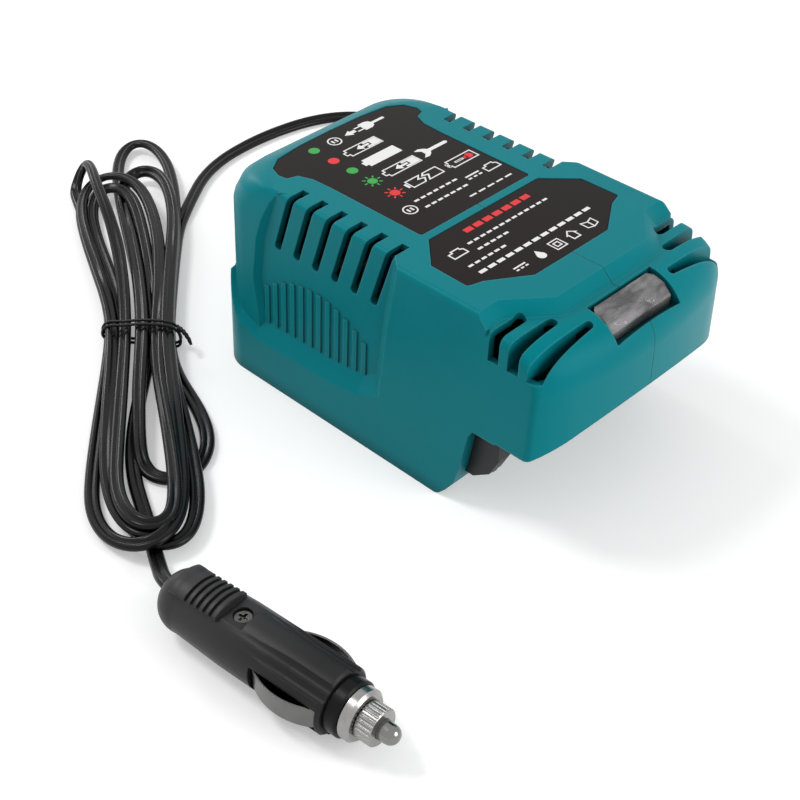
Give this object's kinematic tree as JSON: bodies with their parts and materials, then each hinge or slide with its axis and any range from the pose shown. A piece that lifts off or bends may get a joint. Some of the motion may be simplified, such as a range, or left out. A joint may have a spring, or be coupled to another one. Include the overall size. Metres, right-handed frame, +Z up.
{
  "type": "power tool battery charger",
  "caption": "Compact charger for slide-on tool batteries: ribbed and vented two-part housing, status labels, battery dock underneath, and a tied cord with a fused car socket plug.",
  "frame": {"origin": "middle of the housing on the surface it stands on", "axes": "+X across the charger to its right side, -Y towards the end with the indicator window, +Y towards the end where the cord leaves, +Z up"},
  "size_m": [0.259, 0.3111, 0.0742],
  "materials": {
    "housing_plastic": "fine spark texture",
    "label_film": "satin printed film",
    "window_smoke": "smoked clear plastic",
    "board_green": "solder mask",
    "led_clear": "clear",
    "screw_steel": "zinc plated",
    "winding_tape": "yellow tape",
    "choke_copper": "enamelled copper",
    "capacitor_sleeve": "shrink sleeve",
    "sink_aluminium": "mill finish",
    "transistor_epoxy": "moulded",
    "wire_jacket": "soft",
    "terminal_plastic": "moulded",
    "blade_nickel": "nickel plated",
    "shoe_plastic": "smooth",
    "cord_rubber": "semi-matt",
    "tie_paper": "satin",
    "plug_plastic": "satin",
    "plug_metal": "nickel plated",
    "fuse_glass": "clear"
  },
  "bodies": {
    "charger": {"housing_left": "housing_plastic", "housing_right": "housing_plastic", "housing_screws": "screw_steel", "status_panel": "label_film", "info_panel": "label_film", "indicator_window": "window_smoke", "main_board": "board_green", "indicator_board": "board_green", "indicator_leds": "led_clear", "board_screws": "screw_steel", "transformer": "winding_tape", "input_choke": "choke_copper", "filter_capacitors": "capacitor_sleeve", "heat_sink": "sink_aluminium", "power_transistors": "transistor_epoxy", "supply_wires": "wire_jacket", "terminal_blades": "blade_nickel", "terminal_block": "terminal_plastic", "guide_shoe_left": "shoe_plastic", "guide_shoe_right": "shoe_plastic", "cord_boot": "cord_rubber", "cord_clamp": "terminal_plastic", "clamp_screws": "screw_steel", "cord_lead_out": "cord_rubber", "cord_lead_plug": "cord_rubber", "cord_hank": "cord_rubber", "twist_tie": "tie_paper", "plug_upper_shell": "plug_plastic", "plug_lower_shell": "plug_plastic", "plug_screw": "screw_steel", "plug_nose": "plug_plastic", "contact_ring": "plug_metal"},
    "nut": {"knurled_nut": "plug_metal"},
    "tip": {"tip_pin": "plug_metal", "fuse": "fuse_glass", "tip_spring": "screw_steel"},
    "left_contact": {"side_contact_left": "plug_metal"},
    "right_contact": {"side_contact_right": "plug_metal"}
  },
  "joints": [
    {"name": "tip_press", "type": "slide", "parent": "charger", "child": "tip", "axis": [-0.0837, 0.9965, 0], "range_m": [0, 0.0025], "stiffness_N_per_m": 600, "springref_m": -0.004},
    {"name": "nut_turn", "type": "hinge", "parent": "charger", "child": "nut", "pos_m": [-0.13186, -0.09003, 0.0105], "axis": [0.0837, -0.9965, 0], "continuous": true},
    {"name": "left_contact_press", "type": "hinge", "parent": "charger", "child": "left_contact", "pos_m": [-0.14341, -0.05518, 0.0105], "axis": [0, 0, 1], "range_deg": [0, 5], "stiffness_Nm_per_rad": 0.7, "springref_deg": -1.72},
    {"name": "right_contact_press", "type": "hinge", "parent": "charger", "child": "right_contact", "pos_m": [-0.12627, -0.05374, 0.0105], "axis": [0, 0, -1], "range_deg": [0, 5], "stiffness_Nm_per_rad": 0.7, "springref_deg": -1.72}
  ]
}
